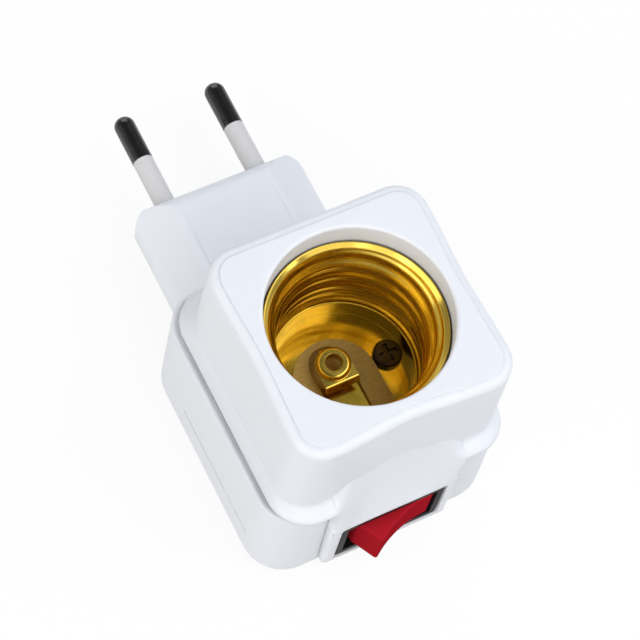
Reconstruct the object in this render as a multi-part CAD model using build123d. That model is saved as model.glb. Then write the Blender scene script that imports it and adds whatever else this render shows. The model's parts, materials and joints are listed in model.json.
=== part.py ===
from build123d import *
import math
import os

os.makedirs("parts", exist_ok=True)

# All sizes in mm. The underside of the base is z = 0, the socket axis is +Z,
# the pins point along +Y and the rocker faces -Y.

# Housing heights
base_height = 24.3
seam_gap = 1.5
skirt_band = 0.7
skirt_soft = 0.25
skirt_middle = 1.8
skirt_height = 3.7
total_height = 50.5
top_pad = 0.25

# Base shell
foot_half_x = 23.4
foot_half_y = 23.6
base_centre_y = 2.0
base_corner = 7.5
base_draft = 1.2
base_wall = 2.6
base_floor = 2.0
foot_round = 1.6
rim_round = 0.3
rim_width = 0.55
groove_depth = 1.3
lip_thickness = 0.8
lip_height = 2.0
side_line_length = 25.0
side_line_centre = -1.1
side_line_height = 7.2
side_line_width = 0.7
side_line_depth = 0.45

# Cover outline: half width, front, back, corner radius, front bow, side bow
cover_top = (20.0, -20.2, 19.6, 5.5, 0.9, 0.45)
cover_foot = (20.8, -20.2, 20.3, 5.8, 0.8, 0.3)
cover_flare = (21.35, -21.1, 22.4, 6.5, 0.3, 0.1)
cover_flange = (22.0, -22.7, 24.2, 7.0, -0.6, 0.02)
cover_edge = 1.4
cover_pad_inset = 1.7
cover_wall = 2.0
cover_ceiling = 2.2
mouth_radius = 15.9
mouth_edge = 0.55
barrel_wall = 1.8
cover_clearance = 0.15

# Hood and frame around the switch, one piece with the cover
hood_half_width = 12.4
# Sections of the hood: x, height of its top, how far it lies behind the frame face there and at the seam
hood_sections = ((0.0, 33.5, 3.8, 2.5), (7.5, 33.3, 3.55, 2.2), (10.5, 31.3, 3.3, 1.3))
hood_proud = 0.12
hood_bury = 0.25
frame_face = -23.2
frame_back = -19.4
frame_bottom = 2.35
frame_round = 0.9
window_half_x = 10.35
window_half_z = 6.9
window_corner = 0.8
ledge_half_x = 9.6
ledge_half_z = 6.3
ledge_thickness = 1.4

# Housing screws and their posts
post_front_inset = 4.0
post_rear_inset = 3.3
post_rear_y = 10.5
post_radius = 3.0
boss_radius = 2.6
screw_radius = 1.3
screw_clearance = 0.2
screw_bite = 0.05
screw_reach = 8.0
screw_head_radius = 2.4
screw_head_height = 2.0
screw_well = 11.0

# Carrier that holds the brass shell
carrier_bottom = 21.4
carrier_thickness = 2.2
carrier_gap = 0.35
cup_height = 3.5
cup_wall = 1.7
cup_gap = 0.25

# Brass screw shell, thread E27
sheet = 0.4
thread_pitch = 3.629
thread_root = 13.3
thread_crest = 12.2
thread_turns = 4
thread_first = 8.6
crest_half = 0.45
flank_run = 0.75
dish_radius = 12.4
dish_height = 4.2
shoulder_gap = 0.2
dish_edge = 0.15
rim_height = 22.0
rim_radius = 15.05
flare_bend = 21.3
flare_bend_radius = 13.9

# Insulating plate and centre contact on the shell floor
plate_centre = -0.9
plate_radius = 7.5
plate_leg = 9.6
plate_thickness = 0.7
plate_slot = 3.45
plate_slot_end = 6.3
plate_slot_corner = 3.3
tongue_width = 6.4
tongue_thickness = 0.5
tongue_root_gap = 0.1
tongue_rise = 2.9
tongue_tip = -1.7
tongue_tail = 4.0
tongue_tail_width = 2.4
floor_hole = 4.2
floor_hole_y = 2.6
eyelet_y = 1.8
eyelet_radius = 3.1
eyelet_hole = 1.6
eyelet_height = 0.9
eyelet_shank = 1.9

# Shell screw and its tab
shell_screw_x = 9.4
shell_screw_y = 0.6
shell_screw_head = 2.6
shell_screw_head_height = 1.3
shell_screw_radius = 1.5
shell_tab_width = 5.0
shell_tab_thickness = 0.8
shell_tab_tail = 7.6

# Plug block and pins
plug_z = 9.3
plug_half_width = 17.2
plug_half_height = 6.3
plug_top_half = 9.5
plug_side_half = 1.6
plug_shoulder_round = 2.4
plug_end = 48.2
plug_nose = 4.5
plug_corner = 4.0
plug_panel_half = 8.6
plug_panel_rise = 0.35
plug_panel_run = 10.0
plug_clearance = 0.15
collar_width = 1.5
collar_length = 2.6
pin_spacing = 18.6
pin_radius = 2.0
pin_core = 1.55
pin_length = 20.2
pin_bare = 9.7
pin_inner = 11.5
pin_flange = 2.4
pin_flange_length = 0.8
sleeve_radius = 1.95
sleeve_wall = 0.35
sleeve_seat = 2.0
bore_gap = 0.05

# Switch
switch_z = 10.0
bezel_gap = 0.15
bezel_thickness = 2.2
switch_body_gap = 0.1
switch_depth = 15.4
switch_floor = 1.5
switch_cavity_x = 8.75
switch_opening_gap = 0.35
clip_length = 4.5
clip_height = 0.8
clip_half_width = 2.5
rocker_half_z = 4.7
rocker_tip_x = 6.6
rocker_tip = 6.35
rocker_valley = 5.3
rocker_foot_x = 7.45
rocker_foot = 1.2
rocker_bottom = -1.8
rocker_wall = 1.2
rocker_pivot_depth = 4.0
rocker_throw = 19.0
trunnion_radius = 1.2
trunnion_length = 1.2
stem_radius = 2.3
stem_bore = 1.45
stem_end = -3.4
stem_roof = 3.2
plunger_radius = 1.35
plunger_reach = 6.2
plunger_top = -0.6
spring_wire = 0.28
spring_radius = 0.95
spring_turns = 4.0
arm_reach = 6.4
arm_end = 1.0
arm_tail = 2.8
arm_half_z = 2.1
arm_thickness = 0.5
button_radius = 1.0
button_height = 0.5
contact_gap = 0.1
saddle_overrun = 8.0
saddle_width = 3.0
terminal_thickness = 0.6
foot_width = 2.4
pad_width = 2.6
blade_width = 4.8
blade_thickness = 0.8
blade_out = 6.9

# Inner leads
wire_radius = 0.8
wire_bend = 2.0
wire_gap = 0.05

# Values that follow from those above
flange_z = base_height + seam_gap
foot_z = flange_z + skirt_height
draft_shift = base_height * math.tan(math.radians(base_draft))
inner_half_x = foot_half_x - draft_shift - base_wall
inner_half_y = foot_half_y - draft_shift - base_wall
inner_corner = base_corner - base_wall
base_front = base_centre_y - foot_half_y
base_back = base_centre_y + foot_half_y
wall_front = base_centre_y - inner_half_y
wall_back = base_centre_y + inner_half_y
carrier_top = carrier_bottom + carrier_thickness
shell_floor = carrier_top + sheet
post_front = (inner_half_x - post_front_inset, wall_front + post_rear_inset)
post_rear = (inner_half_x - post_rear_inset, post_rear_y)
tongue_root = eyelet_y + tongue_width / 2 + tongue_root_gap
posts = [(side * x, y) for x, y in (post_front, post_rear) for side in (-1, 1)]
hood_back = frame_back + cover_wall
ledge_y = frame_back - ledge_thickness
bezel_y = ledge_y - bezel_thickness
body_half_x = ledge_half_x - switch_body_gap
body_half_z = ledge_half_z - switch_body_gap
body_end = ledge_y + switch_depth
floor_y = body_end - switch_floor
pivot_y = bezel_y + rocker_pivot_depth
arm_top = stem_end
button_depth = arm_thickness + button_height - arm_top
throw = math.radians(rocker_throw)
on_x = -arm_reach * math.cos(throw) + button_depth * math.sin(throw)
on_y = pivot_y + (arm_reach + button_radius) * math.sin(throw) + button_depth * math.cos(throw) + contact_gap
pin_x = pin_spacing / 2
sleeve_end = plug_end + pin_length - pin_bare
window_top = switch_z + window_half_z + 0.3


def along_x(face, start, end):
    return extrude(Plane.YZ.offset(start) * face, end - start)


def along_y(face, start, end):
    return extrude(Plane.XZ.offset(-end) * face, end - start)


def along_z(face, start, end):
    return extrude(Plane.XY.offset(start) * face, end - start)


def polygon(*points):
    return make_face(Polyline(*points, close=True))


def disc(x, y, radius):
    return Pos(x, y) * Circle(radius)


def inner_outline(grow):
    return Pos(0, base_centre_y) * RectangleRounded(
        2 * (inner_half_x + grow), 2 * (inner_half_y + grow), inner_corner + grow
    )


def cover_outline(size, inset=0.0):
    """Rounded rectangle whose front and sides bow inwards."""
    half_x, front, back, corner, bow_front, bow_side = size
    half_x -= inset
    front += inset
    back -= inset
    corner -= inset
    bend = corner * (1 - math.sqrt(0.5))
    middle = (front + back) / 2
    side = half_x - bow_side
    low = front + corner
    high = back - corner
    reach = half_x - corner
    up = [(0, 1), (0, 1)]
    down = [(0, -1), (0, -1)]
    return make_face(
        [
            Spline((-reach, front), (0, front + bow_front), (reach, front), tangents=[(1, 0), (1, 0)]),
            ThreePointArc((reach, front), (half_x - bend, front + bend), (half_x, low)),
            Spline((half_x, low), (side, middle), (half_x, high), tangents=up),
            ThreePointArc((half_x, high), (half_x - bend, back - bend), (reach, back)),
            Line((reach, back), (-reach, back)),
            ThreePointArc((-reach, back), (-half_x + bend, back - bend), (-half_x, high)),
            Spline((-half_x, high), (-side, middle), (-half_x, low), tangents=down),
            ThreePointArc((-half_x, low), (-half_x + bend, front + bend), (-reach, front)),
        ]
    )


def plug_section(grow=0.0):
    """Eight-sided section of the plug block, in x and z."""
    corners = [
        (plug_top_half, plug_half_height),
        (plug_half_width, plug_side_half),
        (plug_half_width, -plug_side_half),
        (plug_top_half, -plug_half_height),
        (-plug_top_half, -plug_half_height),
        (-plug_half_width, -plug_side_half),
        (-plug_half_width, plug_side_half),
        (-plug_top_half, plug_half_height),
    ]
    face = polygon(*corners)
    face = fillet(face.vertices(), plug_shoulder_round)
    if grow:
        face = offset(face, grow)
    return Pos(0, plug_z) * face


def make_base():
    foot = Pos(0, base_centre_y) * RectangleRounded(2 * foot_half_x, 2 * foot_half_y, base_corner)
    shell = extrude(foot, base_height, taper=base_draft)
    shell = fillet(shell.faces().sort_by(Axis.Z)[0].edges(), foot_round)
    shell = fillet(shell.faces().sort_by(Axis.Z)[-1].edges(), rim_round)

    # The top slopes inwards to the lip, so that the seam reads as a groove
    groove_floor = base_height - groove_depth
    slope = (base_wall - rim_width - lip_thickness) / groove_depth
    shell -= loft(
        [
            Plane.XY.offset(groove_floor - 0.1) * inner_outline(lip_thickness - 0.1 * slope),
            Plane.XY.offset(base_height + 0.1) * inner_outline(base_wall - rim_width + 0.1 * slope),
        ]
    )
    shell += along_z(inner_outline(lip_thickness), groove_floor - 1, base_height + lip_height)
    shell -= along_z(inner_outline(0), base_floor, total_height)

    # A fine line low on each of the two side walls
    line_x = foot_half_x - side_line_height * math.tan(math.radians(base_draft)) - side_line_depth
    for side in (-1, 1):
        shell -= Pos(side * (line_x + base_wall), side_line_centre, side_line_height) * Box(
            2 * base_wall, side_line_length, side_line_width
        )

    # Screw posts, and ribs from the rear posts to the plug collar
    for x, y in posts:
        shell += along_z(disc(x, y, post_radius), base_floor / 2, carrier_bottom)
    rib_end = wall_back - plug_clearance - collar_length - plug_clearance
    for side in (-1, 1):
        rib = Rectangle(2 * screw_radius, rib_end - post_rear[1])
        rib = Pos(side * post_rear[0], (rib_end + post_rear[1]) / 2) * rib
        shell += along_z(rib, base_floor / 2, plug_z + plug_half_height / 2)
    for x, y in posts:
        shell -= along_z(disc(x, y, screw_radius + screw_clearance), -1, total_height)
        shell -= along_z(disc(x, y, screw_head_radius + screw_clearance), -1, screw_well)

    # Opening for the plug block, and the notch that takes the switch frame
    shell -= along_y(plug_section(plug_clearance), wall_back - 1, base_back + 1)
    notch_bottom = frame_bottom - cover_clearance
    notch_half = hood_half_width + cover_clearance
    notch = Pos(0, (notch_bottom + total_height) / 2) * Rectangle(
        2 * notch_half, total_height - notch_bottom
    )
    shell -= along_y(notch, base_front - 1, wall_front + 0.5)
    return shell


def make_cover():
    levels = [
        (flange_z, cover_flange, 0),
        (flange_z + skirt_band, cover_flange, skirt_soft),
        (flange_z + skirt_middle, cover_flare, 0),
        (foot_z, cover_foot, 0),
    ]
    block = loft(
        [
            Plane.XY.offset(foot_z) * cover_outline(cover_foot),
            Plane.XY.offset(total_height - top_pad) * cover_outline(cover_top),
        ]
    )
    block = fillet(block.faces().sort_by(Axis.Z)[-1].edges(), cover_edge)
    block += loft([Plane.XY.offset(height) * cover_outline(size, inset) for height, size, inset in levels])
    block += along_z(cover_outline(cover_top, cover_pad_inset), total_height - 1, total_height)

    # Hollow it, leaving the barrel round the mouth and four screw bosses
    hollow_half_x = cover_top[0] - cover_wall
    hollow_half_y = cover_top[2] - cover_wall
    hollow = RectangleRounded(2 * hollow_half_x, 2 * hollow_half_y, cover_top[3] - cover_wall)
    block -= along_z(hollow, flange_z - 1, total_height - cover_ceiling)
    lip_space = inner_outline(lip_thickness + cover_clearance)
    block -= along_z(lip_space, flange_z - 1, base_height + lip_height + 2 * cover_clearance)

    # Hood and switch frame
    clear_front = cover_flange[1] + cover_flange[4] - 1
    clear = Pos(0, (clear_front + hood_back) / 2) * Rectangle(2 * hood_half_width, hood_back - clear_front)
    block -= along_z(clear, flange_z - 1, foot_z + 0.1)
    block += make_hood()
    face = Pos(0, (frame_face + frame_back) / 2) * Rectangle(2 * hood_half_width, frame_back - frame_face)
    frame = along_z(face, frame_bottom, window_top)
    corners = [edge for edge in frame.edges().filter_by(Axis.Z) if edge.center().Y < frame_back - 1]
    block += fillet(corners, frame_round)

    barrel = along_z(disc(0, 0, mouth_radius + barrel_wall), carrier_top + cover_clearance, total_height - 1)
    block += barrel
    for x, y in posts:
        block += along_z(disc(x, y, boss_radius), carrier_top, total_height - 1)
    block -= along_z(disc(0, 0, mouth_radius), 0, total_height + 1)
    rim = [
        edge
        for edge in block.edges().filter_by(GeomType.CIRCLE)
        if abs(edge.radius - mouth_radius) < 0.01 and edge.center().Z > total_height - 0.1
    ]
    block = fillet(rim, mouth_edge)
    for x, y in posts:
        pilot = disc(x, y, screw_radius + screw_bite)
        block -= along_z(pilot, carrier_top - 1, carrier_top + screw_reach + 1)

    window = Pos(0, switch_z) * RectangleRounded(2 * window_half_x, 2 * window_half_z, window_corner)
    block -= along_y(window, frame_face - 1, ledge_y)
    ledge = Pos(0, switch_z) * Rectangle(2 * ledge_half_x, 2 * ledge_half_z)
    block -= along_y(ledge, ledge_y - 1, frame_back + 1)
    return block


def hood_profile(flare):
    """Section of the hood at one x, in y and z: a flare from the front wall down to the frame."""
    flare = flare + [(frame_face, window_top)]
    back = [(frame_face, window_top - 1), (hood_back + 1, window_top - 1), (hood_back + 1, flare[0][1]), flare[0]]
    return make_face([Spline(*flare), Polyline(flare[-1], *back)])


def make_hood():
    rows = [
        (x, [(frame_face + top_depth, top), (frame_face + seam_depth, flange_z)])
        for x, top, top_depth, seam_depth in hood_sections
    ]
    # At its ends the hood runs into the skirt
    rows.append(
        (
            hood_half_width,
            [
                (cover_foot[1] + hood_bury, foot_z + 2 * hood_bury),
                (cover_flare[1] - hood_proud, flange_z + skirt_middle),
                (cover_flange[1] + skirt_soft - hood_proud, flange_z + skirt_band),
                (cover_flange[1] - hood_proud, flange_z),
            ],
        )
    )
    rows = [(-x, flare) for x, flare in reversed(rows[1:])] + rows
    hood = loft([Plane.YZ.offset(x) * hood_profile(flare) for x, flare in rows])
    room = polygon(
        (frame_face - 1, window_top),
        (frame_back, window_top),
        (frame_back, base_height),
        (hood_back, flange_z),
        (hood_back, total_height),
        (hood_back + 2, total_height),
        (hood_back + 2, frame_bottom),
        (frame_face - 1, frame_bottom),
    )
    return hood - along_x(room, -hood_half_width - 1, hood_half_width + 1)


def make_carrier():
    plate = along_z(inner_outline(-carrier_gap), carrier_bottom, carrier_top)
    inner = thread_root + sheet + cup_gap
    cup = along_z(Circle(inner + cup_wall) - Circle(inner), carrier_top, carrier_top + cup_height)
    plate += cup
    for x, y in posts:
        plate -= along_z(disc(x, y, screw_radius + screw_clearance), 0, total_height)
    plate -= along_z(disc(shell_screw_x, shell_screw_y, shell_screw_radius + screw_clearance), 0, total_height)
    slot = Pos(plate_centre, tongue_root) * Rectangle(tongue_tail_width + 0.4, tongue_thickness + 0.4)
    plate -= along_z(slot, 0, total_height)
    return plate


def make_screw_shell():
    """Rolled sheet tube: the inner profile, and the same profile one sheet outside it."""
    foot_radius = dish_radius + sheet + bore_gap
    shoulder = dish_height + shoulder_gap
    profile = [(foot_radius, 0), (foot_radius, shoulder), (thread_root, shoulder + 0.6)]
    for turn in range(thread_turns):
        crest = thread_first + turn * thread_pitch
        profile += [
            (thread_root, crest - crest_half - flank_run),
            (thread_crest, crest - crest_half),
            (thread_crest, crest + crest_half),
            (thread_root, crest + crest_half + flank_run),
        ]
    profile[-1] = (thread_root, flare_bend - flank_run / 2)
    profile += [(flare_bend_radius, flare_bend), (rim_radius, rim_height)]
    profile = [(radius, shell_floor + height) for radius, height in profile]
    inner = [(foot_radius, carrier_top)] + profile[1:]
    outer = [(radius + sheet, height) for radius, height in inner]
    wall = polygon(*inner, *reversed(outer))
    return revolve(Plane.XZ * wall, Axis.Z)


def make_shell_base():
    """Drawn dish that closes the tube and lies on the carrier."""
    dish = along_z(Circle(dish_radius + sheet), carrier_top, shell_floor + dish_height)
    dish = fillet(dish.faces().sort_by(Axis.Z)[0].edges(), sheet)
    dish -= along_z(Circle(dish_radius), shell_floor, total_height)
    dish = fillet(dish.faces().sort_by(Axis.Z)[-1].edges(), dish_edge)
    dish -= along_z(disc(plate_centre, floor_hole_y, floor_hole), 0, shell_floor + 0.1)
    screw_hole = disc(shell_screw_x, shell_screw_y, shell_screw_radius + screw_clearance)
    return dish - along_z(screw_hole, 0, shell_floor + 0.1)


def make_insulator():
    arch = disc(plate_centre, 0, plate_radius)
    legs = Pos(plate_centre, -plate_leg / 2) * Rectangle(2 * plate_radius, plate_leg)
    outline = (arch + legs) & Circle(dish_radius - 0.5)
    slot_length = plate_slot_end + 2 * plate_leg
    slot = RectangleRounded(2 * plate_slot, slot_length, plate_slot_corner)
    outline -= Pos(plate_centre, plate_slot_end - slot_length / 2) * slot
    return along_z(outline, shell_floor, shell_floor + plate_thickness)


def make_tongue():
    top = shell_floor + tongue_rise
    path = FilletPolyline(
        (plate_centre, tongue_root, carrier_bottom - tongue_tail),
        (plate_centre, tongue_root, top - 0.4),
        (plate_centre, tongue_root - 0.7, top),
        (plate_centre, tongue_tip, top),
        (plate_centre, tongue_tip - 0.5, top - 1.0),
        radius=0.3,
    )
    section = Plane(path @ 0, x_dir=(1, 0, 0), z_dir=path % 0) * Rectangle(tongue_width, tongue_thickness)
    tongue = sweep(section, path)

    # Round end at the eyelet, with a narrow tail
    outline = disc(plate_centre, eyelet_y, tongue_width / 2)
    outline += Pos(plate_centre, eyelet_y - tongue_width) * Rectangle(tongue_width, 2 * tongue_width)
    outline += Pos(plate_centre, eyelet_y + tongue_width / 2) * Rectangle(tongue_tail_width, tongue_width)
    tongue = tongue & along_z(outline, 0, total_height)
    tongue -= along_z(disc(plate_centre, eyelet_y, eyelet_shank + bore_gap), top - 0.9, top + 0.9)
    return tongue


def make_eyelet():
    top = shell_floor + tongue_rise + tongue_thickness / 2
    head = along_z(disc(plate_centre, eyelet_y, eyelet_radius), top, top + eyelet_height)
    head = fillet(head.faces().sort_by(Axis.Z)[-1].edges(), eyelet_height * 0.8)
    shank_end = top - tongue_thickness - eyelet_height / 2
    head += along_z(disc(plate_centre, eyelet_y, eyelet_shank), shank_end, top + 0.1)
    head -= along_z(disc(plate_centre, eyelet_y, eyelet_hole), 0, total_height)
    return head


def cross_recess(x, y, z, width, depth):
    first = Box(width, width / 4, depth)
    second = Box(width / 4, width, depth)
    return Pos(x, y, z) * (first + second)


def make_shell_screw():
    head = along_z(
        disc(shell_screw_x, shell_screw_y, shell_screw_head), shell_floor, shell_floor + shell_screw_head_height
    )
    head = fillet(head.faces().sort_by(Axis.Z)[-1].edges(), 0.5)
    end = carrier_bottom - shell_tab_thickness - 1.0
    head += along_z(disc(shell_screw_x, shell_screw_y, shell_screw_radius), end, shell_floor + 0.1)
    top = shell_floor + shell_screw_head_height
    return head - cross_recess(shell_screw_x, shell_screw_y, top, 1.3 * shell_screw_head, 1.2)


def make_shell_tab():
    tab = Pos(shell_screw_x, shell_tab_tail / 2 - shell_tab_width / 4) * RectangleRounded(
        shell_tab_width, shell_tab_tail + shell_tab_width / 2, 0.6
    )
    tab -= disc(shell_screw_x, shell_screw_y, shell_screw_radius + screw_bite)
    return along_z(tab, carrier_bottom - shell_tab_thickness, carrier_bottom)


def make_plug():
    block = along_y(plug_section(), wall_back - plug_clearance, plug_end)
    length = plug_end - base_front
    plan = Pos(0, plug_end - length / 2) * RectangleRounded(2 * plug_half_width, length, plug_corner)
    side = Pos(plug_end - length / 2, plug_z) * RectangleRounded(length, 2 * plug_half_height, plug_nose)
    block = block & along_z(plan, 0, total_height)
    block = block & along_x(side, -2 * plug_half_width, 2 * plug_half_width)

    # Flat raised panel on the top, running out towards the pins
    top = plug_z + plug_half_height
    panel_end = plug_end - plug_nose - 1
    panel = polygon(
        (base_back, top - 0.5),
        (base_back, top + plug_panel_rise),
        (panel_end - plug_panel_run, top + plug_panel_rise),
        (panel_end, top),
        (panel_end, top - 0.5),
    )
    block += along_x(panel, -plug_panel_half, plug_panel_half)

    # Collar that keeps the block behind the base's back wall
    collar = plug_section(collar_width) & (
        Pos(0, total_height / 2 + base_floor + plug_clearance) * Rectangle(4 * plug_half_width, total_height)
    )
    collar_end = wall_back - plug_clearance
    collar = along_y(collar, collar_end - collar_length, collar_end)
    block += collar & along_z(inner_outline(-plug_clearance), 0, total_height)
    for side_x in (-pin_x, pin_x):
        hole = Pos(side_x, plug_z) * Circle(pin_core + bore_gap)
        seat = Pos(side_x, plug_z) * Circle(sleeve_radius + bore_gap)
        block -= along_y(hole, 0, plug_end + 1)
        block -= along_y(seat, plug_end - sleeve_seat, plug_end + 1)
    return block


def make_pin(x):
    start = wall_back - plug_clearance - collar_length
    tip = plug_end + pin_length
    core = along_y(Circle(pin_core), pin_inner, sleeve_end + 1)
    core += along_y(Circle(pin_flange), start - pin_flange_length, start)
    bare = along_y(Circle(pin_radius), sleeve_end, tip)
    bare = fillet(bare.faces().sort_by(Axis.Y)[-1].edges(), pin_radius - 0.1)
    return Pos(x, 0, plug_z) * (core + bare)


def make_sleeve(x):
    ring = Circle(sleeve_radius) - Circle(sleeve_radius - sleeve_wall)
    return Pos(x, 0, plug_z) * along_y(ring, plug_end - sleeve_seat, sleeve_end)


def make_switch_housing():
    bezel = Pos(0, switch_z) * RectangleRounded(
        2 * (window_half_x - bezel_gap), 2 * (window_half_z - bezel_gap), window_corner
    )
    housing = along_y(bezel, bezel_y, ledge_y)
    housing = fillet(housing.faces().sort_by(Axis.Y)[0].edges(), 0.4)
    body = Pos(0, switch_z) * Rectangle(2 * body_half_x, 2 * body_half_z)
    housing += along_y(body, ledge_y - 0.2, body_end)

    # Wedge clips that snap behind the frame's ledge
    for side in (-1, 1):
        clip = polygon(
            (side * (body_half_x - 0.5), frame_back + 0.1),
            (side * (body_half_x + clip_height), frame_back + 0.1),
            (side * body_half_x, frame_back + clip_length),
            (side * (body_half_x - 0.5), frame_back + clip_length),
        )
        housing += along_z(clip, switch_z - clip_half_width, switch_z + clip_half_width)

    cavity = Pos(0, switch_z) * Rectangle(2 * switch_cavity_x, 2 * (rocker_half_z + switch_opening_gap))
    housing -= along_y(cavity, bezel_y - 1, floor_y)
    housing -= along_z(disc(0, pivot_y, trunnion_radius + bore_gap), 0, total_height)
    slot = Rectangle(blade_thickness + 2 * bore_gap, blade_width + 2 * bore_gap)
    for x in (0, on_x):
        housing -= along_y(Pos(x, switch_z) * slot, floor_y - 0.1, body_end + 1)
    return housing


def at_pivot(shape):
    """Put a shape drawn round the pivot, facing +Y, in its resting place."""
    return Pos(0, pivot_y, switch_z) * Rot(0, 0, rocker_throw) * Rot(0, 0, 180) * shape


def make_rocker():
    outer = make_face(
        [
            ThreePointArc((rocker_tip_x, rocker_tip), (0, rocker_valley), (-rocker_tip_x, rocker_tip)),
            Polyline(
                (-rocker_tip_x, rocker_tip),
                (-rocker_foot_x, rocker_foot),
                (-rocker_foot_x + 0.5, rocker_foot - 2.2),
                (-2.5 * trunnion_radius, rocker_bottom),
                (2.5 * trunnion_radius, rocker_bottom),
                (rocker_foot_x - 0.5, rocker_foot - 2.2),
                (rocker_foot_x, rocker_foot),
                (rocker_tip_x, rocker_tip),
            ),
        ]
    )
    body = along_z(outer, -rocker_half_z, rocker_half_z)
    rim = [edge for edge in body.edges() if edge.center().Y > rocker_foot + 0.5]
    body = fillet(rim, 0.5)
    inner = make_face(
        [
            ThreePointArc(
                (rocker_tip_x - rocker_wall, rocker_tip - 1.7 * rocker_wall),
                (0, rocker_valley - rocker_wall),
                (-rocker_tip_x + rocker_wall, rocker_tip - 1.7 * rocker_wall),
            ),
            Polyline(
                (-rocker_tip_x + rocker_wall, rocker_tip - 1.7 * rocker_wall),
                (-rocker_foot_x + rocker_wall, rocker_foot),
                (-rocker_foot_x + rocker_wall, rocker_bottom - 1),
                (rocker_foot_x - rocker_wall, rocker_bottom - 1),
                (rocker_foot_x - rocker_wall, rocker_foot),
                (rocker_tip_x - rocker_wall, rocker_tip - 1.7 * rocker_wall),
            ),
        ]
    )
    body -= along_z(inner, -rocker_half_z + rocker_wall, rocker_half_z - rocker_wall)
    body += along_y(Circle(stem_radius), stem_end, rocker_valley - rocker_wall / 2)
    body -= along_y(Circle(stem_bore), stem_end - 1, stem_roof)
    for side in (-1, 1):
        start = rocker_half_z - 0.2
        trunnion = along_z(Circle(trunnion_radius), start, rocker_half_z + trunnion_length)
        body += trunnion if side > 0 else mirror(trunnion, Plane.XY)
    return at_pivot(body)


def make_plunger():
    body = along_y(Circle(plunger_radius), -plunger_reach, plunger_top)
    body = fillet(body.faces().sort_by(Axis.Y)[0].edges(), plunger_radius - 0.25)
    return at_pivot(body)


def make_spring():
    free = stem_roof - plunger_top - 2 * spring_wire - 0.1
    coil = Helix(free / spring_turns, free, spring_radius)
    section = Plane(coil @ 0, z_dir=coil % 0) * RegularPolygon(spring_wire, 8)
    spring = sweep(section, coil, is_frenet=True)
    return at_pivot(Pos(0, plunger_top + spring_wire + 0.05, 0) * Rot(-90, 0, 0) * spring)


def make_contact_arm():
    """Strip under the rocker's stem that carries the moving contact."""
    length = arm_reach + arm_end + arm_tail
    strip = Pos(arm_reach + arm_end - length / 2, 0) * Rectangle(length, 2 * arm_half_z)
    strip = along_y(strip, arm_top - arm_thickness, arm_top)
    return at_pivot(strip - along_y(Circle(stem_bore), arm_top - 1, arm_top + 1))


def make_arm_button():
    end = arm_top - arm_thickness
    return at_pivot(along_y(Pos(arm_reach, 0) * Circle(button_radius), end - button_height, end))


def make_terminal_common():
    """Saddle that the plunger's tip runs along, on a blade through the floor."""
    inner = plunger_reach + contact_gap
    outer = inner + terminal_thickness
    saddle = Circle(outer) - Circle(inner)
    reach = outer * math.tan(math.radians(rocker_throw + saddle_overrun))
    saddle = saddle & polygon((0, 0), (reach, outer), (-reach, outer))
    body = Pos(0, pivot_y, switch_z) * along_z(saddle, -saddle_width / 2, saddle_width / 2)
    foot = Pos(0, switch_z) * Rectangle(foot_width, blade_width)
    body += along_y(foot, floor_y - terminal_thickness, floor_y)
    blade = Pos(0, switch_z) * Rectangle(blade_thickness, saddle_width)
    body += along_y(blade, pivot_y + (inner + outer) / 2, floor_y)
    blade = Pos(0, switch_z) * Rectangle(blade_thickness, blade_width)
    return body + along_y(blade, floor_y - terminal_thickness, body_end + blade_out)


def make_terminal_on():
    pad = Pos(on_x, switch_z) * Rectangle(pad_width, blade_width)
    pad_top = on_y + button_height
    body = along_y(pad, pad_top, pad_top + terminal_thickness)
    blade = Pos(on_x, switch_z) * Rectangle(blade_thickness, blade_width)
    return body + along_y(blade, pad_top, body_end + blade_out)


def make_fixed_button():
    return along_y(Pos(on_x, switch_z) * Circle(button_radius), on_y, on_y + button_height)


def make_wire(*points, bend=wire_bend):
    path = FilletPolyline(*points, radius=bend)
    return sweep(Plane(path @ 0, z_dir=path % 0) * Circle(wire_radius), path)


def make_wire_pin_to_switch():
    start = pin_inner - wire_gap
    blade_end = body_end + blade_out + wire_gap
    return make_wire(
        (-pin_x, start, plug_z),
        (-pin_x, start - 2.6, plug_z),
        (0, blade_end + 5.0, switch_z),
        (0, blade_end, switch_z),
    )


def make_wire_switch_to_contact():
    blade_end = body_end + blade_out + wire_gap
    tail = carrier_bottom - tongue_tail - wire_gap
    return make_wire(
        (on_x, blade_end, switch_z),
        (on_x, tongue_root, switch_z),
        (plate_centre, tongue_root, tail - 3.6),
        (plate_centre, tongue_root, tail),
        bend=1.4,
    )


def make_wire_pin_to_shell():
    start = pin_inner - wire_gap
    end_y = shell_tab_tail - shell_tab_width / 2
    return make_wire(
        (pin_x, start, plug_z),
        (pin_x, end_y, plug_z),
        (pin_x, end_y, carrier_bottom - shell_tab_thickness - wire_gap),
    )


def make_housing_screws():
    screws = []
    for x, y in posts:
        screw = along_z(disc(x, y, screw_head_radius), screw_well - screw_head_height, screw_well)
        screw = fillet(screw.faces().sort_by(Axis.Z)[0].edges(), 0.6)
        screw += along_z(disc(x, y, screw_radius), screw_well - 0.1, carrier_top + screw_reach)
        recess = cross_recess(x, y, screw_well - screw_head_height, 1.3 * screw_head_radius, 1.6)
        screws.append(screw - recess)
    return Compound(children=screws)


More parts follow.
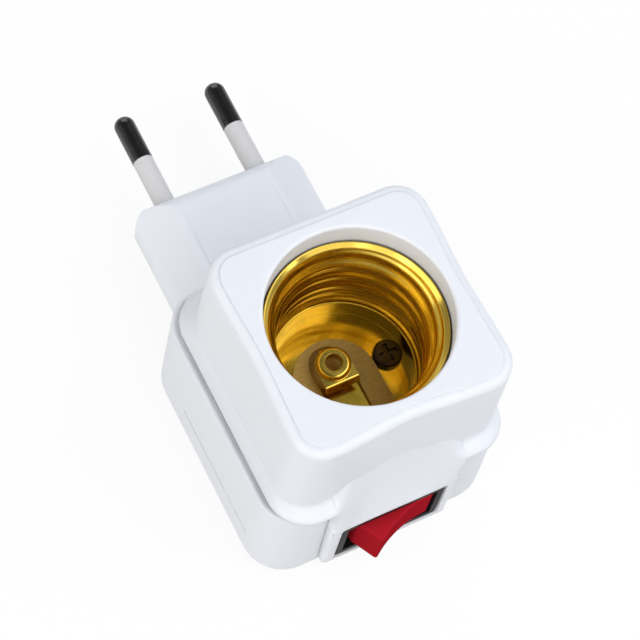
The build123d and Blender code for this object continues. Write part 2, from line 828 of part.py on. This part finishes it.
nodes = {
    "base_shell": make_base(),
    "socket_cover": make_cover(),
    "socket_carrier": make_carrier(),
    "screw_shell": make_screw_shell(),
    "shell_base": make_shell_base(),
    "contact_insulator": make_insulator(),
    "centre_contact": make_tongue(),
    "contact_eyelet": make_eyelet(),
    "shell_screw": make_shell_screw(),
    "shell_terminal": make_shell_tab(),
    "plug_block": make_plug(),
    "pin_left": make_pin(-pin_x),
    "pin_right": make_pin(pin_x),
    "sleeve_left": make_sleeve(-pin_x),
    "sleeve_right": make_sleeve(pin_x),
    "switch_housing": make_switch_housing(),
    "rocker": make_rocker(),
    "switch_plunger": make_plunger(),
    "plunger_spring": make_spring(),
    "contact_arm": make_contact_arm(),
    "arm_button": make_arm_button(),
    "terminal_common": make_terminal_common(),
    "terminal_on": make_terminal_on(),
    "fixed_button": make_fixed_button(),
    "wire_pin_to_switch": make_wire_pin_to_switch(),
    "wire_switch_to_contact": make_wire_switch_to_contact(),
    "wire_pin_to_shell": make_wire_pin_to_shell(),
    "housing_screws": make_housing_screws(),
}
for name, shape in nodes.items():
    shape.label = name
    export_step(shape, f"parts/{name}.step")
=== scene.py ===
import json
import math

import bmesh
import bpy
from mathutils import Matrix, Vector


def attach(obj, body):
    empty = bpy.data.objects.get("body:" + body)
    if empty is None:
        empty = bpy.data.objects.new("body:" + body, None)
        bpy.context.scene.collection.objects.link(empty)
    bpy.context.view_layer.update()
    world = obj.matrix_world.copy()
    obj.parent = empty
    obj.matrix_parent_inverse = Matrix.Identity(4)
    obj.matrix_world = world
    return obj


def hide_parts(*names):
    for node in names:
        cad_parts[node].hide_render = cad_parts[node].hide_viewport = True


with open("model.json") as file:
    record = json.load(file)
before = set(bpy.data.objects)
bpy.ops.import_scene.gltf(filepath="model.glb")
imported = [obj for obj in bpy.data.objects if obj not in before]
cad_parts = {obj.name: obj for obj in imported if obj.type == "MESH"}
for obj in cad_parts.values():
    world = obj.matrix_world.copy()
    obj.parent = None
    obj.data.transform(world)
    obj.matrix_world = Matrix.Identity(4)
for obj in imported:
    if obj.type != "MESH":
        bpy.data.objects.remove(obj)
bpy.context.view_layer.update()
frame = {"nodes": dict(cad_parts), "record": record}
nodes = frame["nodes"]
scene = bpy.context.scene
MM = 0.001

# Rolled brass thread: wall radii and heights of the drawn sheet, in millimetres
SHEET = 0.4
FOOT_BOTTOM = 23.6
FOOT_RADIUS = 12.85
SHOULDER_HEIGHT = 28.4
SHOULDER_RISE = 0.6
ROOT_RADIUS = 13.3
CREST_DEPTH = 0.6
CREST_HEIGHT = 0.75
THREAD_PITCH = 3.629
THREAD_START = 30.4
THREAD_END = 45.2
THREAD_FADE = 1.4
BELL_START = 39.26
# Length along the sheet and its lean from upright at the end, from the tube to the rim
BELL_RUNS = [(1.5, 13.0), (4.36, 13.0), (0.5, 50.0), (0.9, 50.0)]
BELL_STEP = 0.15
TUBE_STEPS = 150
TURN_STEPS = 144
MERGE_DISTANCE = 0.001

# Relief of the surfaces and rounding of the edges, in metres
PLASTIC_RELIEF = 4e-6
METAL_RELIEF = 2e-6
FIBRE_RELIEF = 6e-6
SOFT_EDGE = 0.00025
SHARP_EDGE = 0.00012

# How closely the lines of worked metal lie along x, y and z
ROUND_THE_SOCKET = (260.0, 260.0, 5200.0)
ROUND_THE_PINS = (260.0, 5200.0, 260.0)

# Colours of the lamps
PLAIN_LIGHT = (1.0, 1.0, 1.0)
COOL_LIGHT = (0.97, 1.0, 1.07)
COOLER_LIGHT = (0.96, 1.0, 1.08)


def add_node(tree, kind, **settings):
    node = tree.nodes.new("ShaderNode" + kind)
    for name, value in settings.items():
        setattr(node, name, value)
    return node


def fill(node, values):
    for name, value in values.items():
        node.inputs[name].default_value = value
    return node


def new_group(name, inputs, outputs):
    group = bpy.data.node_groups.new(name, "ShaderNodeTree")
    for label, kind, value in inputs:
        socket = group.interface.new_socket(label, in_out="INPUT", socket_type=kind)
        socket.default_value = value
    for label, kind in outputs:
        group.interface.new_socket(label, in_out="OUTPUT", socket_type=kind)
    entry = group.nodes.new("NodeGroupInput")
    result = group.nodes.new("NodeGroupOutput")
    return group, entry, result


SURFACE_OUTPUTS = [
    ("Colour", "NodeSocketColor"),
    ("Roughness", "NodeSocketFloat"),
    ("Height", "NodeSocketFloat"),
]


def make_moulded_surface():
    """Moulded plastic: a faint cloudy tone, uneven gloss and the fine grain of the mould."""
    group, entry, result = new_group(
        "moulded_surface",
        [
            ("Colour", "NodeSocketColor", (0.8, 0.8, 0.8, 1)),
            ("Mottle", "NodeSocketFloat", 0.04),
            ("Cloud Scale", "NodeSocketFloat", 60.0),
            ("Grain Scale", "NodeSocketFloat", 5000.0),
            ("Gloss Low", "NodeSocketFloat", 0.3),
            ("Gloss High", "NodeSocketFloat", 0.4),
        ],
        SURFACE_OUTPUTS,
    )
    link = group.links.new
    place = add_node(group, "TexCoord")
    clouds = fill(add_node(group, "TexNoise"), {"Detail": 4.0, "Roughness": 0.55})
    link(place.outputs["Object"], clouds.inputs["Vector"])
    link(entry.outputs["Cloud Scale"], clouds.inputs["Scale"])
    swing = add_node(group, "Math", operation="SUBTRACT")
    swing.inputs[1].default_value = 0.5
    link(clouds.outputs[0], swing.inputs[0])
    amount = add_node(group, "Math", operation="MULTIPLY")
    link(swing.outputs[0], amount.inputs[0])
    link(entry.outputs["Mottle"], amount.inputs[1])
    tone = add_node(group, "Math", operation="ADD")
    tone.inputs[1].default_value = 1.0
    link(amount.outputs[0], tone.inputs[0])
    tint = add_node(group, "VectorMath", operation="SCALE")
    link(entry.outputs["Colour"], tint.inputs[0])
    link(tone.outputs[0], tint.inputs["Scale"])
    link(tint.outputs[0], result.inputs["Colour"])
    gloss = fill(add_node(group, "MapRange"), {"From Min": 0.35, "From Max": 0.65})
    link(clouds.outputs[0], gloss.inputs["Value"])
    link(entry.outputs["Gloss Low"], gloss.inputs["To Min"])
    link(entry.outputs["Gloss High"], gloss.inputs["To Max"])
    link(gloss.outputs[0], result.inputs["Roughness"])
    grain = fill(add_node(group, "TexNoise"), {"Detail": 2.0, "Roughness": 0.6})
    link(place.outputs["Object"], grain.inputs["Vector"])
    link(entry.outputs["Grain Scale"], grain.inputs["Scale"])
    link(grain.outputs[0], result.inputs["Height"])
    return group


def make_drawn_metal():
    """Drawn or turned metal: fine lines along one direction, with patches of dull tarnish."""
    group, entry, result = new_group(
        "drawn_metal",
        [
            ("Colour", "NodeSocketColor", (0.8, 0.8, 0.8, 1)),
            ("Tarnish Colour", "NodeSocketColor", (0.4, 0.3, 0.2, 1)),
            ("Tarnish", "NodeSocketFloat", 0.3),
            ("Line Scale", "NodeSocketVector", (200.0, 200.0, 6000.0)),
            ("Gloss Low", "NodeSocketFloat", 0.15),
            ("Gloss High", "NodeSocketFloat", 0.3),
        ],
        SURFACE_OUTPUTS,
    )
    link = group.links.new
    place = add_node(group, "TexCoord")
    stretch = add_node(group, "VectorMath", operation="MULTIPLY")
    link(place.outputs["Object"], stretch.inputs[0])
    link(entry.outputs["Line Scale"], stretch.inputs[1])
    lines = fill(add_node(group, "TexNoise"), {"Scale": 1.0, "Detail": 3.0, "Roughness": 0.6})
    link(stretch.outputs[0], lines.inputs["Vector"])
    link(lines.outputs[0], result.inputs["Height"])
    patches = fill(add_node(group, "TexNoise"), {"Scale": 240.0, "Detail": 6.0, "Roughness": 0.62})
    link(place.outputs["Object"], patches.inputs["Vector"])
    cover = fill(add_node(group, "MapRange"), {"From Min": 0.46, "From Max": 0.72})
    link(patches.outputs[0], cover.inputs["Value"])
    link(entry.outputs["Tarnish"], cover.inputs["To Max"])
    stain = add_node(group, "Mix", data_type="RGBA")
    link(cover.outputs[0], stain.inputs["Factor"])
    link(entry.outputs["Colour"], stain.inputs["A"])
    link(entry.outputs["Tarnish Colour"], stain.inputs["B"])
    link(stain.outputs["Result"], result.inputs["Colour"])
    gloss = fill(add_node(group, "MapRange"), {"From Min": 0.3, "From Max": 0.7})
    link(lines.outputs[0], gloss.inputs["Value"])
    link(entry.outputs["Gloss Low"], gloss.inputs["To Min"])
    link(entry.outputs["Gloss High"], gloss.inputs["To Max"])
    dull = add_node(group, "Math", operation="MULTIPLY_ADD")
    dull.inputs[1].default_value = 0.25
    link(cover.outputs[0], dull.inputs[0])
    link(gloss.outputs[0], dull.inputs[2])
    link(dull.outputs[0], result.inputs["Roughness"])
    return group


def make_pressed_fibre():
    """Pressed board: short fibres in two directions in a resin of another tone."""
    group, entry, result = new_group(
        "pressed_fibre",
        [
            ("Colour", "NodeSocketColor", (0.4, 0.3, 0.15, 1)),
            ("Fibre Colour", "NodeSocketColor", (0.5, 0.4, 0.2, 1)),
            ("Gloss Low", "NodeSocketFloat", 0.5),
            ("Gloss High", "NodeSocketFloat", 0.65),
        ],
        SURFACE_OUTPUTS,
    )
    link = group.links.new
    place = add_node(group, "TexCoord")
    strands = []
    for turn in (25, 115):
        lay = fill(add_node(group, "Mapping"), {"Scale": (600.0, 4200.0, 2000.0)})
        lay.inputs["Rotation"].default_value = (0, 0, math.radians(turn))
        link(place.outputs["Object"], lay.inputs["Vector"])
        strand = fill(add_node(group, "TexNoise"), {"Scale": 1.0, "Detail": 3.0, "Roughness": 0.6})
        link(lay.outputs[0], strand.inputs["Vector"])
        strands.append(strand)
    mat = add_node(group, "Math", operation="MAXIMUM")
    link(strands[0].outputs[0], mat.inputs[0])
    link(strands[1].outputs[0], mat.inputs[1])
    link(mat.outputs[0], result.inputs["Height"])
    shown = fill(add_node(group, "MapRange"), {"From Min": 0.42, "From Max": 0.72})
    link(mat.outputs[0], shown.inputs["Value"])
    blend = add_node(group, "Mix", data_type="RGBA")
    link(shown.outputs[0], blend.inputs["Factor"])
    link(entry.outputs["Colour"], blend.inputs["A"])
    link(entry.outputs["Fibre Colour"], blend.inputs["B"])
    link(blend.outputs["Result"], result.inputs["Colour"])
    gloss = add_node(group, "MapRange")
    link(shown.outputs[0], gloss.inputs["Value"])
    link(entry.outputs["Gloss Low"], gloss.inputs["To Min"])
    link(entry.outputs["Gloss High"], gloss.inputs["To Max"])
    link(gloss.outputs[0], result.inputs["Roughness"])
    return group


moulded_surface = make_moulded_surface()
drawn_metal = make_drawn_metal()
pressed_fibre = make_pressed_fibre()


def surface_material(name, group, values, relief, edge_radius, constants):
    """A shader fed by one of the groups, with its relief and softly rounded edges, in metres."""
    material = bpy.data.materials.new(name)
    material.use_nodes = True
    tree = material.node_tree
    link = tree.links.new
    shader = fill(tree.nodes["Principled BSDF"], constants)
    surface = tree.nodes.new("ShaderNodeGroup")
    surface.node_tree = group
    fill(surface, values)
    link(surface.outputs["Colour"], shader.inputs["Base Color"])
    link(surface.outputs["Roughness"], shader.inputs["Roughness"])
    edge = add_node(tree, "Bevel", samples=6)
    edge.inputs["Radius"].default_value = edge_radius
    bump = fill(add_node(tree, "Bump"), {"Strength": 0.5, "Distance": relief})
    link(edge.outputs["Normal"], bump.inputs["Normal"])
    link(surface.outputs["Height"], bump.inputs["Height"])
    link(bump.outputs["Normal"], shader.inputs["Normal"])
    return material


def moulded_plastic(name, colour, mottle, gloss, shine=0.5, depth=None):
    """Plastic with a given shine; depth holds the values for light that goes into it."""
    values = {
        "Colour": (*colour, 1),
        "Mottle": mottle,
        "Gloss Low": gloss[0],
        "Gloss High": gloss[1],
    }
    constants = {"Specular IOR Level": shine, **(depth or {})}
    return surface_material(name, moulded_surface, values, PLASTIC_RELIEF, SOFT_EDGE, constants)


def worked_metal(name, colour, tarnish_colour, tarnish, line_scale, gloss, lacquer=None):
    values = {
        "Colour": (*colour, 1),
        "Tarnish Colour": (*tarnish_colour, 1),
        "Tarnish": tarnish,
        "Line Scale": line_scale,
        "Gloss Low": gloss[0],
        "Gloss High": gloss[1],
    }
    constants = {"Metallic": 1.0, **(lacquer or {})}
    return surface_material(name, drawn_metal, values, METAL_RELIEF, SHARP_EDGE, constants)


milky = {
    "Subsurface Weight": 0.5,
    "Subsurface Radius": (1.0, 1.0, 1.0),
    "Subsurface Scale": 0.0015,
}
thin_lacquer = {"Coat Weight": 0.35, "Coat Roughness": 0.08}
finishes = {
    "white_plastic": moulded_plastic(
        "white_plastic", (0.80, 0.815, 0.84), 0.03, (0.34, 0.42), depth=milky
    ),
    "red_plastic": moulded_plastic("red_plastic", (0.40, 0.012, 0.020), 0.12, (0.26, 0.34), 0.0),
    "black_plastic": moulded_plastic(
        "black_plastic", (0.012, 0.012, 0.013), 0.3, (0.32, 0.46), 0.05
    ),
    "grey_plastic": moulded_plastic("grey_plastic", (0.66, 0.65, 0.64), 0.05, (0.42, 0.52)),
    "brass": worked_metal(
        "brass",
        (0.75, 0.515, 0.075),
        (0.46, 0.28, 0.037),
        0.15,
        ROUND_THE_SOCKET,
        (0.11, 0.20),
        thin_lacquer,
    ),
    # Pin plating: a near-black colour, painted shade that stands for the dark surroundings the
    # bright plating mirrors
    "plated_brass": worked_metal(
        "plated_brass",
        (0.09, 0.088, 0.086),
        (0.055, 0.052, 0.05),
        0.3,
        ROUND_THE_PINS,
        (0.08, 0.16),
    ),
    "olive_insulator": surface_material(
        "olive_insulator",
        pressed_fibre,
        {"Colour": (0.54, 0.36, 0.10, 1), "Fibre Colour": (0.70, 0.50, 0.16, 1)},
        FIBRE_RELIEF,
        SHARP_EDGE,
        {"Specular IOR Level": 0.2},
    ),
    "dark_steel": worked_metal(
        "dark_steel",
        (0.055, 0.04, 0.03),
        (0.03, 0.02, 0.015),
        0.5,
        (900.0, 900.0, 900.0),
        (0.22, 0.4),
    ),
    "bright_steel": worked_metal(
        "bright_steel",
        (0.56, 0.56, 0.58),
        (0.3, 0.27, 0.24),
        0.25,
        (800.0, 800.0, 800.0),
        (0.2, 0.34),
    ),
    "contact_silver": worked_metal(
        "contact_silver",
        (0.78, 0.77, 0.74),
        (0.4, 0.36, 0.3),
        0.35,
        (700.0, 700.0, 700.0),
        (0.24, 0.38),
    ),
    "wire_brown": moulded_plastic("wire_brown", (0.16, 0.055, 0.02), 0.15, (0.34, 0.44)),
    "wire_blue": moulded_plastic("wire_blue", (0.03, 0.13, 0.42), 0.15, (0.34, 0.44)),
}
# A darker copy of the brass: painted shade for the dish at the bottom of the well
brass_painted_shade = worked_metal(
    "brass_painted_shade",
    (0.62, 0.415, 0.040),
    (0.38, 0.22, 0.02),
    0.3,
    ROUND_THE_SOCKET,
    (0.11, 0.20),
    thin_lacquer,
)
for part in frame["record"]["subparts"]:
    mesh = nodes[part["node"]].data
    mesh.materials.clear()
    mesh.materials.append(finishes[part["material_slot"]])
# The dish at the bottom of the socket gets a darker copy of the brass with more tarnish: painted
# shade for the floor of the well
nodes["shell_base"].data.materials[0] = brass_painted_shade


def new_piece(name, shape, material, body):
    """Turns a finished bmesh into an object of the lamp socket that rides on a body."""
    mesh = bpy.data.meshes.new(name)
    shape.to_mesh(mesh)
    shape.free()
    mesh.shade_smooth()
    mesh.materials.append(material)
    piece = bpy.data.objects.new(name, mesh)
    scene.collection.objects.link(piece)
    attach(piece, body)
    return piece


def smooth_step(value):
    value = min(max(value, 0.0), 1.0)
    return value * value * (3 - 2 * value)


def make_thread_shell():
    """The drawn brass tube with its right-handed rolled thread and bell mouth."""
    shape = bmesh.new()
    outline = []
    for step in range(TUBE_STEPS + 1):
        height = FOOT_BOTTOM + (BELL_START - FOOT_BOTTOM) * step / TUBE_STEPS
        shoulder = smooth_step((height - SHOULDER_HEIGHT) / SHOULDER_RISE)
        radius = FOOT_RADIUS + (ROOT_RADIUS - FOOT_RADIUS) * shoulder
        outline.append(shape.verts.new((radius, 0, height)))
    radius, height, lean = ROOT_RADIUS, BELL_START, 0.0
    for length, last_lean in BELL_RUNS:
        first_lean = lean
        parts = math.ceil(length / BELL_STEP)
        for step in range(parts):
            lean = first_lean + (last_lean - first_lean) * (step + 1) / parts
            middle_lean = math.radians(lean - (last_lean - first_lean) / (2 * parts))
            radius += length / parts * math.sin(middle_lean)
            height += length / parts * math.cos(middle_lean)
            outline.append(shape.verts.new((radius, 0, height)))
    edges = [shape.edges.new(pair) for pair in zip(outline, outline[1:])]
    bmesh.ops.spin(
        shape,
        geom=outline + edges,
        axis=(0, 0, 1),
        angle=math.tau,
        steps=TURN_STEPS,
        use_merge=True,
    )
    bmesh.ops.remove_doubles(shape, verts=shape.verts, dist=MERGE_DISTANCE)
    for vert in shape.verts:
        height = vert.co.z
        turn = math.atan2(vert.co.y, vert.co.x) / math.tau
        wave = 0.5 + 0.5 * math.cos(math.tau * ((height - CREST_HEIGHT) / THREAD_PITCH - turn))
        run_in = smooth_step((height - THREAD_START) / THREAD_FADE)
        run_out = smooth_step((THREAD_END - height) / THREAD_FADE)
        radius = math.hypot(vert.co.x, vert.co.y)
        scale = 1 - CREST_DEPTH * wave * run_in * run_out / radius
        vert.co.x *= scale
        vert.co.y *= scale
    bmesh.ops.recalc_face_normals(shape, faces=shape.faces)
    face = next(iter(shape.faces))
    middle = face.calc_center_median()
    if face.normal.dot(Vector((middle.x, middle.y, 0))) > 0:
        bmesh.ops.reverse_faces(shape, faces=shape.faces)
    bmesh.ops.scale(shape, vec=(MM, MM, MM), verts=shape.verts)
    shell = new_piece("thread_shell", shape, finishes["brass"], "housing")
    wall = shell.modifiers.new("wall", "SOLIDIFY")
    wall.thickness = SHEET * MM
    wall.offset = -1
    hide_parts("screw_shell")


make_thread_shell()

# Floor: grey for the light that it passes on, and nearly white to the camera and in reflections
FLOOR_HALF_SIZE = 3.0
FLOOR_DROP = 0.0004
FLOOR_GLOW = 0.9
floor_shape = bmesh.new()
bmesh.ops.create_grid(floor_shape, x_segments=1, y_segments=1, size=FLOOR_HALF_SIZE)
bmesh.ops.translate(floor_shape, vec=(0, 0, -FLOOR_DROP), verts=floor_shape.verts)
floor_mesh = bpy.data.meshes.new("floor")
floor_shape.to_mesh(floor_mesh)
floor_shape.free()
floor = bpy.data.objects.new("floor", floor_mesh)
scene.collection.objects.link(floor)


def seen_directly(tree):
    """1 for camera, mirror and see-through rays, 0 for the light that a surface passes on."""
    path = add_node(tree, "LightPath")
    total = add_node(tree, "Math", operation="ADD")
    tree.links.new(path.outputs["Is Camera Ray"], total.inputs[0])
    tree.links.new(path.outputs["Is Glossy Ray"], total.inputs[1])
    most = add_node(tree, "Math", operation="ADD", use_clamp=True)
    tree.links.new(total.outputs[0], most.inputs[0])
    tree.links.new(path.outputs["Is Transmission Ray"], most.inputs[1])
    return most.outputs[0]


floor_paint = bpy.data.materials.new("floor")
floor_paint.use_nodes = True
tree = floor_paint.node_tree
paint = fill(tree.nodes["Principled BSDF"], {"Roughness": 0.9, "Specular IOR Level": 0.0})
direct = seen_directly(tree)
tone = add_node(tree, "Mix", data_type="RGBA")
tone.inputs["A"].default_value = (0.36, 0.36, 0.37, 1)
tone.inputs["B"].default_value = (0.93, 0.93, 0.93, 1)
tree.links.new(direct, tone.inputs["Factor"])
tree.links.new(tone.outputs["Result"], paint.inputs["Base Color"])
glow = add_node(tree, "Emission")
share = add_node(tree, "Math", operation="MULTIPLY")
share.inputs[1].default_value = FLOOR_GLOW
tree.links.new(direct, share.inputs[0])
mixed = add_node(tree, "MixShader")
tree.links.new(share.outputs[0], mixed.inputs["Fac"])
tree.links.new(paint.outputs["BSDF"], mixed.inputs[1])
tree.links.new(glow.outputs["Emission"], mixed.inputs[2])
tree.links.new(mixed.outputs["Shader"], tree.nodes["Material Output"].inputs["Surface"])
floor_mesh.materials.append(floor_paint)

# Studio: a room that is pale all round and dark overhead
studio = bpy.data.worlds.new("studio")
studio.use_nodes = True
tree = studio.node_tree
place = add_node(tree, "TexCoord")
heights = add_node(tree, "SeparateXYZ")
tree.links.new(place.outputs["Generated"], heights.inputs[0])
room = add_node(tree, "Mix", data_type="RGBA")
room.inputs["A"].default_value = (0.46, 0.46, 0.47, 1)
room.inputs["B"].default_value = (0.12, 0.125, 0.14, 1)
tree.links.new(heights.outputs["Z"], room.inputs["Factor"])
tree.links.new(room.outputs["Result"], tree.nodes["Background"].inputs["Color"])
scene.world = studio


def soft_box(name, direction, width, height, power, colour):
    """A panel of light one metre from the origin, turned towards it."""
    lamp = bpy.data.lights.new(name, "AREA")
    lamp.shape = "RECTANGLE"
    lamp.size = width
    lamp.size_y = height
    lamp.energy = power
    lamp.color = colour
    holder = bpy.data.objects.new(name, lamp)
    holder.location = Vector(direction).normalized()
    holder.rotation_mode = "QUATERNION"
    holder.rotation_quaternion = (-Vector(direction)).to_track_quat("-Z", "Y")
    scene.collection.objects.link(holder)


soft_box("left", (-0.906, 0.000, 0.423), 0.9, 0.9, 4.3, PLAIN_LIGHT)
soft_box("front_left", (-0.673, -0.606, 0.423), 0.9, 0.9, 3.2, PLAIN_LIGHT)
soft_box("front", (0.027, -0.766, 0.643), 0.9, 0.70, 2.1, PLAIN_LIGHT)
soft_box("front_right", (0.577, -0.247, 0.779), 1.0, 1.0, 6.6, COOL_LIGHT)
soft_box("back", (0.200, 0.846, 0.500), 0.8, 0.8, 2.4, COOLER_LIGHT)

# Camera: its place and axes in the part's frame, in metres
PLACE = (-0.116448, -0.124325, 0.400792)
right = Vector((0.886528, -0.447657, 0.116925))
down = Vector((-0.365988, -0.833111, -0.414704))
forward = Vector((0.283057, 0.324853, -0.902413))
lens = bpy.data.cameras.new("camera")
lens.lens = 135
lens.sensor_width = 36
lens.clip_start = 0.01
camera = bpy.data.objects.new("camera", lens)
turn = Matrix((right, -down, -forward)).transposed().to_4x4()
camera.matrix_world = Matrix.Translation(PLACE) @ turn
scene.collection.objects.link(camera)
scene.camera = camera
scene.view_settings.view_transform = "Standard"
